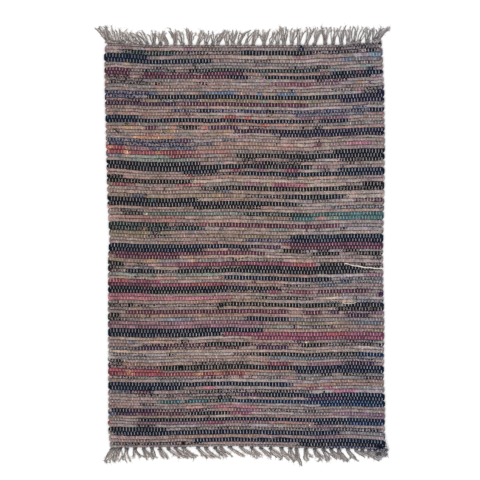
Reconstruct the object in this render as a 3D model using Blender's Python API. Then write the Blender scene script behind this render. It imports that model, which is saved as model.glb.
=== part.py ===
"""A rag rug that lies flat on a floor: a woven body and a fringe of warp ends along each of its ends.

Metres, +Z up. X runs across the rug, Y runs along it towards its top end, and the origin is on the
floor at the middle of the footprint. Sizes and tables are in millimetres.
"""

import math
from typing import NamedTuple

import bmesh
import bpy
from mathutils import Vector

MM = 0.001

# The weave
BODY_LENGTH = 868.0
PICKS = 117
CREST = 6.6  # height of the top of a pick
VALLEY = 4.9  # height between two picks
UNEVEN = 0.35  # how much the heights wander
WAVE = 2.4  # how far a pick wanders along the rug
TURN_BULGE = 1.5  # how far a pick's turn stands out at the selvedge
SIDE_HEIGHT = 2.7  # the selvedge's widest level
SIDE_INSET = 1.1  # how far the selvedge draws in at the floor and on top
FLAT_MARGIN = 40.0  # from the outline to the one large face underneath

# Columns of points across the top, as shares of the width
COLUMNS = (0.012, 0.05, 0.14, 0.26, 0.38, 0.5, 0.62, 0.74, 0.86, 0.95, 0.988)

# The selvedges from the top end down, and where they lie across
SELVEDGES = (
    # along, left, right
    (0, -296.0, 300.5),
    (22, -300.0, 302.0),
    (108, -298.5, 306.0),
    (227, -295.5, 307.0),
    (334, -293.0, 306.0),
    (415, -288.5, 304.0),
    (460, -291.5, 303.0),
    (600, -291.5, 306.0),
    (723, -291.0, 305.0),
    (766, -291.0, 308.0),
    (831, -291.0, 307.0),
    (868, -287.0, 309.0),
)

# How far each end of the weave stands out past its straight line
END_LINES = (
    # across, top, bottom
    (-300, 3.6, 0.6),
    (-255, 3.0, 0.6),
    (-205, -0.8, 0.0),
    (-155, -1.0, -0.4),
    (-20, -1.1, -2.6),
    (100, -1.1, -0.4),
    (145, -1.0, 1.8),
    (225, 0.0, 2.2),
    (270, 4.0, 4.6),
    (310, 6.0, 7.6),
)

# The fringe
HEADER_GAP = 0.35  # from the end of the weave to the strip that holds the strands
HEADER_WIDTH = 2.6
HEADER_HEIGHT = 3.4
STRANDS_A_LOCK = 3
ROOT_SPACING = 3.0
STRAND_WIDTH = (2.1, 1.2)  # at the root and at the tip
STRAND_HEIGHT = (2.6, 1.2)
TIP_SPACING = 3.6  # the least, from one strand's tip to the next one's
LOCK_DRIFT = 1.5  # how far a lock strays from its even place
TIP_DRIFT = 1.2
REACH_DRIFT = 0.06  # as a share of the reach
BEND = 1.25  # how late a strand bends into its lean
STATIONS = (0.3, 0.65, 1.0)  # along a strand


class Fringe(NamedTuple):
    name: str
    outward: int  # along Y: 1 at the top end, -1 at the bottom end
    locks: int
    first: float  # the outer locks' places across
    last: float
    lay: tuple  # how the locks lie


# lean: how far a lock's tip lies to the right of its root; reach: how far it lies out from the weave;
# fan: how far its strands spread
TOP_LAY = (
    # across, lean, reach, fan
    (-284, -27, 27, 9),
    (-274, -14, 34, 8),
    (-262, -4, 28, 8),
    (-244, -12, 26, 8),
    (-206, -13, 25, 9),
    (-190, 0, 28, 11),
    (-163, -11, 25, 9),
    (-145, 0, 32, 12),
    (-114, -2, 33, 14),
    (-96, 10, 31, 8),
    (-64, 5, 30, 8),
    (-50, 14, 31, 8),
    (-34, 2, 31, 10),
    (-8, 11, 31, 8),
    (23, 9, 31, 8),
    (46, 2, 32, 13),
    (75, 7, 40, 8),
    (97, 3, 35, 12),
    (120, 8, 37, 8),
    (156, 11, 37, 8),
    (180, 0, 38, 12),
    (215, 2, 38, 11),
    (248, 13, 38, 8),
    (275, 5, 33, 8),
    (292, 20, 38, 9),
)
BOTTOM_LAY = (
    # across, lean, reach, fan
    (-284, -12, 31, 8),
    (-267, -4, 30, 8),
    (-251, -3, 30, 9),
    (-234, 6, 27, 8),
    (-214, 13, 26, 8),
    (-196, 5, 25, 9),
    (-179, 13, 25, 9),
    (-161, 22, 21, 11),
    (-110, 21, 23, 11),
    (-60, 20, 23, 10),
    (-28, 23, 20, 9),
    (-4, 20, 21, 9),
    (20, 15, 24, 8),
    (50, 20, 24, 9),
    (83, 17, 28, 9),
    (102, 10, 35, 8),
    (118, 4, 38, 8),
    (135, 6, 30, 12),
    (156, 14, 27, 9),
    (190, 19, 27, 9),
    (226, 16, 27, 9),
    (247, 20, 20, 10),
    (270, 19, 30, 9),
    (294, 4, 22, 9),
)
FRINGES = (
    Fringe("fringe_top", 1, 39, -284, 292, TOP_LAY),
    Fringe("fringe_bottom", -1, 33, -280, 294, BOTTOM_LAY),
)

# Colours, linear
TAUPE = (0.21, 0.17, 0.155)
COTTON = (0.25, 0.21, 0.18)
CLOTH_ROUGHNESS = 0.95


def wobble(index, salt):
    """A number from -1 to 1 that depends only on the two it is given."""
    turn = math.sin(index * 12.9898 + salt * 78.233) * 43758.5453
    return 2 * (turn - math.floor(turn)) - 1


def read(table, at, column):
    """A table's column at a place in its first column, along straight lines between its rows."""
    if at <= table[0][0]:
        return table[0][column]
    for low, high in zip(table, table[1:]):
        if at <= high[0]:
            share = (at - low[0]) / (high[0] - low[0])
            return low[column] + share * (high[column] - low[column])
    return table[-1][column]


def end_line(x, outward):
    """Y of the weave's top or bottom end at a place across."""
    return outward * (BODY_LENGTH / 2 + read(END_LINES, x, 1 if outward > 0 else 2))


def weave_point(across, down):
    """X and Y at shares of the width and of the length from the top end."""
    left, right = (read(SELVEDGES, down * BODY_LENGTH, column) for column in (1, 2))
    x = left + across * (right - left)
    y = end_line(x, 1) * (1 - down) + end_line(x, -1) * down
    swing = math.sin(2.1 * x / 100 + 9 * down) + 0.7 * math.sin(4.3 * x / 100 - 17 * down + 1)
    return x, y + WAVE * 0.6 * swing * math.sin(math.pi * down) ** 0.5


def section(step):
    """Points across the weave, over the top from floor to floor. Odd steps run along a pick's crest."""
    crest = step % 2
    down = step / (2 * PICKS)
    height = CREST if crest else VALLEY
    points = []
    for side, across in ((-1, 0.0), (1, 1.0)):
        x, y = weave_point(across, down)
        turn = TURN_BULGE * crest * (0.6 + 0.4 * wobble(step, side))
        levels = (
            (-SIDE_INSET, 0.0),
            (turn, SIDE_HEIGHT),
            (turn * 0.5 - SIDE_INSET, height - SIDE_INSET),
        )
        edge = [Vector((x + side * out, y, z)) for out, z in levels]
        points.append(edge if side < 0 else edge[::-1])
    top = []
    for across in COLUMNS:
        x, y = weave_point(across, down)
        rise = UNEVEN * math.sin(x / 31 + step * 0.37) * math.cos(x / 53 - step * 0.11)
        top.append(Vector((x, y, height + rise)))
    return points[0] + top + points[1]


def loft(bm, sections):
    """Faces between each row of points and the next, and the rows of vertices."""
    rows = [[bm.verts.new(point * MM) for point in row] for row in sections]
    for row, following in zip(rows, rows[1:]):
        for i in range(len(row) - 1):
            bm.faces.new((row[i], row[i + 1], following[i + 1], following[i]))
    return rows


def close_end(bm, row):
    """A wall down to the floor under a row's top points."""
    floor = [bm.verts.new((vert.co.x, vert.co.y, 0)) for vert in row[3:-3]]
    bm.faces.new(row[:4] + floor[:1])
    for i in range(len(floor) - 1):
        bm.faces.new((row[i + 3], row[i + 4], floor[i + 1], floor[i]))
    bm.faces.new(row[-4:] + floor[-1:])


def close_underside(bm):
    """The flat underside: one large rectangle, and a ring of faces from it to the outline."""
    outline = [edge for edge in bm.edges if edge.is_boundary]
    across = min(-SELVEDGES[0][1], SELVEDGES[0][2]) - FLAT_MARGIN
    along = BODY_LENGTH / 2 - FLAT_MARGIN
    corners = [
        bm.verts.new((x * across * MM, y * along * MM, 0))
        for x, y in ((-1, -1), (1, -1), (1, 1), (-1, 1))
    ]
    face = bm.faces.new(corners)
    bmesh.ops.triangle_fill(bm, use_beauty=True, edges=outline + list(face.edges))


def body_mesh():
    bm = bmesh.new()
    rows = loft(bm, [section(step) for step in range(2 * PICKS + 1)])
    close_end(bm, rows[0])
    close_end(bm, rows[-1])
    close_underside(bm)
    return bm


class Strand(NamedTuple):
    root: float
    tip: float
    reach: float


def strands_of(fringe):
    """The strands from left to right. Their tips keep their order, so that none crosses another."""
    strands = []
    pitch = (fringe.last - fringe.first) / (fringe.locks - 1)
    for lock in range(fringe.locks):
        inner = 0 < lock < fringe.locks - 1
        root = fringe.first + lock * pitch + inner * LOCK_DRIFT * wobble(lock, 3)
        lean, reach, fan = (read(fringe.lay, root, column) for column in (1, 2, 3))
        for i in range(STRANDS_A_LOCK):
            side = i - (STRANDS_A_LOCK - 1) / 2
            number = lock * STRANDS_A_LOCK + i
            tip = root + lean + side * fan / 2 + TIP_DRIFT * wobble(number, 5)
            if strands:
                tip = max(tip, strands[-1].tip + TIP_SPACING)
            length = reach * (1 + REACH_DRIFT * wobble(number, 7)) - HEADER_GAP - HEADER_WIDTH
            strands.append(Strand(root + side * ROOT_SPACING, tip, length))
    return strands


def header(bm, fringe, strands):
    """The strip that holds the strands, and the small triangle on its front that each one grows from."""
    sign = fringe.outward
    down = 0.0 if sign > 0 else 1.0
    left, right = weave_point(0.0, down)[0], weave_point(1.0, down)[0]
    half = STRAND_WIDTH[0] / 2

    def vert(x, out, z):
        return bm.verts.new(Vector((x, end_line(x, sign) + sign * (HEADER_GAP + out), z)) * MM)

    back = [left] + [weave_point(across, down)[0] for across in COLUMNS] + [right]
    back_low = [vert(x, 0, 0) for x in back]
    back_high = [vert(x, 0, HEADER_HEIGHT) for x in back]
    low = [vert(left, HEADER_WIDTH, 0)]
    high = [vert(left, HEADER_WIDTH, HEADER_HEIGHT)]
    roots = []
    for strand in strands:
        feet = [vert(strand.root + side * half, HEADER_WIDTH, 0) for side in (-1, 1)]
        peak = vert(strand.root, HEADER_WIDTH, HEADER_HEIGHT)
        roots.append(bm.faces.new((feet[0], feet[1], peak)))
        bm.faces.new((low[-1], feet[0], peak, high[-1]))
        low += feet
        high.append(peak)
    low.append(vert(right, HEADER_WIDTH, 0))
    high.append(vert(right, HEADER_WIDTH, HEADER_HEIGHT))
    bm.faces.new((low[-2], low[-1], high[-1], high[-2]))
    for i in range(len(back) - 1):
        bm.faces.new((back_low[i], back_low[i + 1], back_high[i + 1], back_high[i]))
    bm.faces.new((low[0], high[0], back_high[0], back_low[0]))
    bm.faces.new((low[-1], high[-1], back_high[-1], back_low[-1]))
    bm.faces.new(high + back_high[::-1])
    bm.faces.new(low + back_low[::-1])
    return roots


def grow(bm, root, strand, sign):
    """Draws a strand's triangle out from its root, station by station, with its base on the floor."""
    foot = end_line(strand.root, sign) + sign * (HEADER_GAP + HEADER_WIDTH)
    shift = strand.tip - strand.root
    face = root
    for share in STATIONS:
        heading = Vector((shift * BEND * share ** (BEND - 1), sign * strand.reach, 0)).normalized()
        side = Vector((heading.y, -heading.x, 0)) * sign
        centre = Vector((strand.root + shift * share**BEND, foot + sign * strand.reach * share, 0))
        half = (STRAND_WIDTH[0] + share * (STRAND_WIDTH[1] - STRAND_WIDTH[0])) / 2
        height = STRAND_HEIGHT[0] + share * (STRAND_HEIGHT[1] - STRAND_HEIGHT[0])
        face = bmesh.ops.extrude_discrete_faces(bm, faces=[face])["faces"][0]
        ring = (centre - side * half, centre + side * half, centre + Vector((0, 0, height)))
        for vert, place in zip(face.verts, ring):
            vert.co = place * MM


def fringe_mesh(fringe):
    bm = bmesh.new()
    strands = strands_of(fringe)
    for root, strand in zip(header(bm, fringe, strands), strands):
        grow(bm, root, strand, fringe.outward)
    return bm


def cloth_material(name, colour):
    material = bpy.data.materials.new(name)
    material.use_nodes = True
    shader = material.node_tree.nodes["Principled BSDF"]
    shader.inputs["Base Color"].default_value = (*colour, 1)
    shader.inputs["Roughness"].default_value = CLOTH_ROUGHNESS
    shader.inputs["Metallic"].default_value = 0.0
    return material


def add_piece(collection, name, bm, colour):
    bmesh.ops.recalc_face_normals(bm, faces=bm.faces)
    mesh = bpy.data.meshes.new(name)
    bm.to_mesh(mesh)
    bm.free()
    mesh.materials.append(cloth_material(name, colour))
    piece = bpy.data.objects.new(name, mesh)
    collection.objects.link(piece)
    return piece


def centre_on_footprint(pieces):
    """Moves the pieces so that the origin is at the middle of the footprint."""
    points = [vert.co for piece in pieces for vert in piece.data.vertices]
    for axis in (0, 1):
        places = [point[axis] for point in points]
        middle = (min(places) + max(places)) / 2
        for piece in pieces:
            piece.location[axis] = -middle


def main():
    for obj in list(bpy.data.objects):
        bpy.data.objects.remove(obj)
    collection = bpy.data.collections.new("rag_rug")
    bpy.context.scene.collection.children.link(collection)
    pieces = [add_piece(collection, "rug_body", body_mesh(), TAUPE)]
    for fringe in FRINGES:
        pieces.append(add_piece(collection, fringe.name, fringe_mesh(fringe), COTTON))
    centre_on_footprint(pieces)


main()
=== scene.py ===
"""The rag rug as it looks: every rag, warp end and fringe yarn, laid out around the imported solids.

Tables are in millimetres or, in the rag chart, centimetres. X runs across the rug from left to right
and Y along it towards the top end. Places are worked out in the weave's own frame, whose middle lies
halfway between its two ends, and to_metres() moves them into the row's frame.
"""

import math

import bmesh
import bpy
import numpy as np
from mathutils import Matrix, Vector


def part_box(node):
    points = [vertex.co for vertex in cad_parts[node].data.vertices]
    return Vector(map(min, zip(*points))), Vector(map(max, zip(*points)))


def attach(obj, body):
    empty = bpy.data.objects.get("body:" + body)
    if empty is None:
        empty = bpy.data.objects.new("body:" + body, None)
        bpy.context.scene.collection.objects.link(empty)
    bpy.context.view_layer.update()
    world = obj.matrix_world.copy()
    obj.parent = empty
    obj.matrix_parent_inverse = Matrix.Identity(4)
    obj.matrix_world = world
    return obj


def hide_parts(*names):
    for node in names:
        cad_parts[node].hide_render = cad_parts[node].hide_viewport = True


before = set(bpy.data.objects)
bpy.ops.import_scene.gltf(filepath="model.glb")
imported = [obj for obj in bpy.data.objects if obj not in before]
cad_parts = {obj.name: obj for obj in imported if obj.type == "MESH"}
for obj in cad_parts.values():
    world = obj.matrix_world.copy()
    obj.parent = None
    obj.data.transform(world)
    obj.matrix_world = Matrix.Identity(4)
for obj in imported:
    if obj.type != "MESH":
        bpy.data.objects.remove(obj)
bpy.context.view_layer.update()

MM = 0.001
CM = 10.0  # millimetres

# A wave is given by its size and its step, counted in the stations or bends of what it varies. Two numbers
# without a comment of their own are the least and the greatest.

# The weave, as in the solids
BODY_LENGTH = 868.0
OUTLINE_STATIONS = 200  # along each selvedge
SELVEDGES = (
    # along, left, right
    (0, -296.0, 300.5), (22, -300.0, 302.0), (108, -298.5, 306.0), (227, -295.5, 307.0),
    (334, -293.0, 306.0), (415, -288.5, 304.0), (460, -291.5, 303.0), (600, -291.5, 306.0),
    (723, -291.0, 305.0), (766, -291.0, 308.0), (831, -291.0, 307.0), (868, -287.0, 309.0),
)
END_LINES = (
    # across, top, bottom
    (-300, 3.6, 0.6), (-255, 3.0, 0.6), (-205, -0.8, 0.0), (-155, -1.0, -0.4), (-20, -1.1, -2.6),
    (100, -1.1, -0.4), (145, -1.0, 1.8), (225, 0.0, 2.2), (270, 4.0, 4.6), (310, 6.0, 7.6),
)

# How far below their charted place the picks lie, across at these shares of the width
SAG_ACROSS = (0.0, 0.25, 0.5, 0.75, 1.0)
SAG = (
    # along, at each of those shares
    (0, 0, 0, 0, 0, 0), (24, -0.5, 1, -0.5, -1.5, 0.5), (57, -1, 0, 0, 1.5, 2),
    (66, -1.5, -0.5, 0.5, 2, 2.5), (76, -1.5, -1, 0.5, 0.5, 1.5), (127, -0.5, -2.5, 0, 0.5, 0.5),
    (158, 0, -3.5, -0.5, 0.5, 0.5), (179, 0.5, -1.5, -0.5, 0.5, 1), (240, 0.5, 2, 0, 2, 2),
    (249, 0.5, 4, 0, 2, 2), (259, 0.5, 4, 0, 2, 2), (267, 0.5, 7.5, 0, 2, 2), (275, 0.5, 3.5, 0, 2, 2),
    (320, 0, 1, 1, 2.5, 1.5), (329, 0, 3, 1, 2.5, 1.5), (338, 0, 2, 1, 2.5, 1.5),
    (346, 0, 3, 1, 2.5, 1.5), (354, 0, 0, 1, 2.5, 1.5), (386, -2, -1.5, 1, 2.5, 2),
    (438, -2, 0, 0.5, 1.5, 1), (447, -2, 0, 0.5, 1.5, -2), (460, -2, 0.5, 0.5, 1, 0.5),
    (540, -1.5, 1, 0.5, 1, 0), (620, 0, 1, 0.5, 0, -1.5), (690, -1.5, 0.5, 1, 0.5, -2),
    (699, -1.5, 4, 3, 0.5, -2), (707, -2, 0.5, 1, 0.5, -2.5), (720, -2, 0.5, 1, 0.5, -2.5),
    (800, -2, 1.5, 1, 0, -2), (850, -2, 0.5, 1, 0, -1.5), (868, 0, 0, 0, 0, 0),
)

SAG_SMOOTHING = 63  # stations, ends included, over which its corners are rounded

# The warp
WARPS = 175
SELVEDGE_INSET = 6.6  # from the selvedge to the outermost warp
WARP_WIDTH = 2.0
WARP_THICKNESS = 1.5
WARP_OVER = 4.75  # its middle's height where it floats over a rag
WARP_UNDER = 1.35  # and where it runs underneath
FLOAT_SHARE = 0.58  # how much of a pick's width a float crosses before it dives
UNDER_SHARE = 0.9  # and how much a warp crosses underneath
WARP_LOW_SHADE = 0.15  # painted shade: how much of its colour a warp shows where it runs underneath; it darkens as it sinks
WARP_DRIFT = (0.22, 9)  # how far a warp wanders
WARP_LEAN = 0.22  # how far the ends of a float lie out of line
WARP_UNEVEN = 0.12  # how much their heights differ
WARP_PROFILE = ((1.0, -0.45), (0.0, 1.0), (-1.0, -0.45))
WARP_SWELL = (0.06, 3)  # how much a warp's width varies
WARP_TONE = (0.05, 12)  # and its shade
WARP_MOTTLE = 0.05  # how much its bends' shades differ
WARP_BOUNCE_LIGHT = (
    # how much light the rags around a float reflect, how bright it is: painted bounce light, lighter among
    # light rags and darker among dark ones
    (0.0, 0.72), (0.035, 0.88), (0.25, 1.06),
)
LIGHT_RAG = 0.25  # how much light a rag reflects that counts as light
WARP_HIDDEN = (
    # warp, how much the dark rags close over its floats
    (0, 0.32), (22, 0.32), (40, 0.0), (150, 0.0), (174, 0.06),
)
WARP_BOUNCE_TINT = 0.35  # painted bounce light: how much of the rags' hue the floats show
DULL = 0.05  # grey added to that hue
FLOAT_MOTTLE = 0.16  # and how much the floats' do
WARP_COLOUR = (188, 177, 170)

# The rags
RAG_MIDDLE = 3.3  # height of a rag's middle
RAG_SWING = 0.95  # how far it rises over a warp and sinks under one
GAP_RISE = 0.12  # how much of that it has risen between two warps
RAG_THICKNESS = 2.05  # from a rag's middle to its crown
RAG_BELLY = 0.95  # how far its underside lies below its middle, as a share of that
RAG_CLEARANCE = 0.1  # least, above the floor
RAG_BULGE = ((0.09, 2), (0.05, 30))  # how much its thickness varies
RAG_SWELL = (0.08, 2)  # and its width
THIN_POWER = 0.4  # how strongly a rag that packs thin is narrower than its pick
LEAST_PICK = 3.6  # the narrowest that a pick is squeezed to
OVER_SPREAD = 1.14  # a rag's width over a warp, as a share of its pick
UNDER_SPREAD = 0.84
TURN_STATIONS = 5
TURN_REACH = 1.9  # how far a turn's middle goes past the outermost warp's gap
TURN_POWER = 0.4  # how square a turn is: 1 is a half circle, 0 a box
TURN_WIDTH = 4.6
TURN_MOTTLE = 0.08  # how much the turns' widths differ
PUSH = 0.9  # how far thick rags push their neighbours, where 1 is all the way
PUSH_REACH = 4.0  # how many picks away that still shows
PUSH_SMOOTHING = 31  # stations, ends included, over which a change of thickness is spread
PUSH_WAVES = ((0.05, 44), (0.02, 13))  # how much the picks' thickness varies
RAGGED = 1.5  # how far the ends of a rag lie from the chart, in mm
WEFT_PIECES = 4
RAG_PROFILE = (
    # across, up; over the top from left to right and back underneath
    (1.0, 0.0), (0.56, 0.86), (0.0, 1.0), (-0.56, 0.86), (-1.0, 0.0), (0.0, -RAG_BELLY),
)
RAG_LIGHT_AND_SHADE = (0.62, 1.06, 1.08, 1.06, 0.62, 0.4)  # painted light and shade: how much of its colour each of those points shows, dark at the edges and underneath, lighter on top
EDGES = [0, 4]  # of those points, the rag's edges
CROWN = 2  # and the middle of its top, where a rag that is folded lengthwise has a groove
EDGE_WAVE = (0.26, 11)  # how much the edges' shade varies along a rag
GROOVE = (0.55, 0.5, 26)  # a groove's mean depth from 0 to 1, how much that varies, and the step
FOLD_SHADE = 0.42  # painted shade: how much darker a groove is
FOLD_DEPTH = 0.34  # and how deep, as a share of the rag's thickness
UNDER_WARP_SHADE = 0.8  # painted shade: how much of its colour a rag shows where a warp float crosses over it
RAG_WANDER = ((0.3, 3), (0.35, 15))  # how far a rag wanders within its pick
RAG_TONE = ((0.08, 40), (0.1, 3), (0.1, 7), (0.1, 16))  # how much the shade of a rag varies
RAG_HUE = (0.05, 5)  # how much red, green and blue vary apart
STREAK = (0.14, 9)  # how much each of the profile's points varies apart
SHADE_PIT_SHARE = 0.08  # share of points painted with shade, as if they lay in a dark fold of the rag
# how much of its colour such a painted shade pit keeps
PIT_SHADE = 0.4
FLECK_WAVE = (0.3, 10)  # how much the share of flecks varies between the rag's sides
BLEND_STATIONS = (2, 10)  # how far from its end a rag still shows through the next one
BLEND_SHARE = 0.75  # how much of it shows at the end, at most
BLEND_LEAST = 0.3  # and at least, as a share of the most

# Cloths, in sRGB. width: how thick the rag packs; fleck: the cloth that shows through in a share of its
# bulges; share: how large that share is
CLOTHS = {
    # name: (red, green, blue), width, fleck, share
    "taupe": ((145, 126, 122), 0.94, "sand", 0.12),
    "stone": ((158, 144, 142), 0.94, "taupe", 0.15),
    "sand": ((151, 129, 123), 0.94, "stone", 0.15),
    "rose": ((152, 124, 117), 0.94, "taupe", 0.15),
    "khaki": ((136, 117, 103), 0.94, "sand", 0.2),
    "grey": ((122, 113, 112), 0.94, "stone", 0.2),
    "umber": ((132, 115, 112), 0.96, "taupe", 0.25),
    "tan": ((148, 118, 106), 0.98, "sand", 0.15),
    "gold": ((172, 139, 106), 1.0, "khaki", 0.2),
    "apricot": ((190, 144, 112), 1.0, "tan", 0.2),
    "cream": ((170, 149, 138), 0.96, "sand", 0.15),
    "sage": ((117, 110, 106), 0.96, "stone", 0.2),
    "moss": ((124, 110, 94), 0.96, "khaki", 0.25),
    "mint": ((120, 128, 121), 0.96, "stone", 0.2),
    "fern": ((84, 100, 93), 0.98, "bottle", 0.2),
    "teal": ((42, 91, 95), 1.06, "bottle", 0.2),
    "jade": ((60, 99, 101), 1.04, "mint", 0.2),
    "bottle": ((12, 37, 40), 1.08, "umber", 0.22),
    "petrol": ((2, 38, 68), 1.14, "navy", 0.2),
    "navy": ((11, 25, 45), 1.12, "ink", 0.12),
    "ink": ((18, 23, 34), 1.12, "navy", 0.2),
    "black": ((16, 18, 22), 1.1, "umber", 0.2),
    "indigo": ((29, 27, 50), 1.12, "ink", 0.2),
    "denim": ((80, 100, 127), 1.0, "grey", 0.3),
    "slate": ((96, 104, 117), 0.98, "grey", 0.3),
    "sky": ((112, 134, 146), 0.98, "stone", 0.25),
    "print": ((34, 45, 78), 0.98, "taupe", 0.38),
    "plum": ((62, 40, 64), 1.08, "ink", 0.2),
    "wine": ((84, 44, 62), 1.08, "plum", 0.2),
    "raspberry": ((120, 62, 84), 1.08, "wine", 0.18),
    "pink": ((160, 101, 115), 1.02, "raspberry", 0.15),
    "mauve": ((127, 94, 106), 1.02, "wine", 0.18),
    "red": ((134, 62, 72), 1.06, "mauve", 0.2),
    "coral": ((158, 114, 109), 1.0, "rose", 0.2),
    "scarlet": ((174, 84, 76), 0.96, "coral", 0.25),
    "rust": ((155, 116, 100), 1.0, "tan", 0.2),
    "peach": ((169, 139, 127), 0.96, "sand", 0.2),
    "dots": ((25, 23, 32), 0.8, "taupe", 0.4),
    "sparse": ((28, 27, 35), 0.8, "taupe", 0.56),
    "winedots": ((62, 26, 46), 0.8, "taupe", 0.42),
    "bluedots": ((52, 60, 88), 0.8, "grey", 0.52),
    "reddots": ((128, 62, 76), 0.8, "sand", 0.38),
    "greydots": ((72, 74, 82), 0.84, "stone", 0.4),
    "ivory": ((224, 205, 182), 0.96, "cream", 0.1),
}

# The cloths of the stretches that the chart leaves open, and how often each comes up
PLAIN_CLOTHS = (("taupe", 7), ("stone", 4), ("sand", 7), ("rose", 4), ("grey", 1), ("khaki", 1))
PLAIN_RUN = (90, 420)  # the least and greatest length of such a stretch
SPECK_SHARE = 0.016  # bulges in those stretches that show another rag
SPECK_CLOTHS = ("black", "navy", "coral", "slate", "wine", "umber", "ink", "peach", "mauve")

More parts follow.
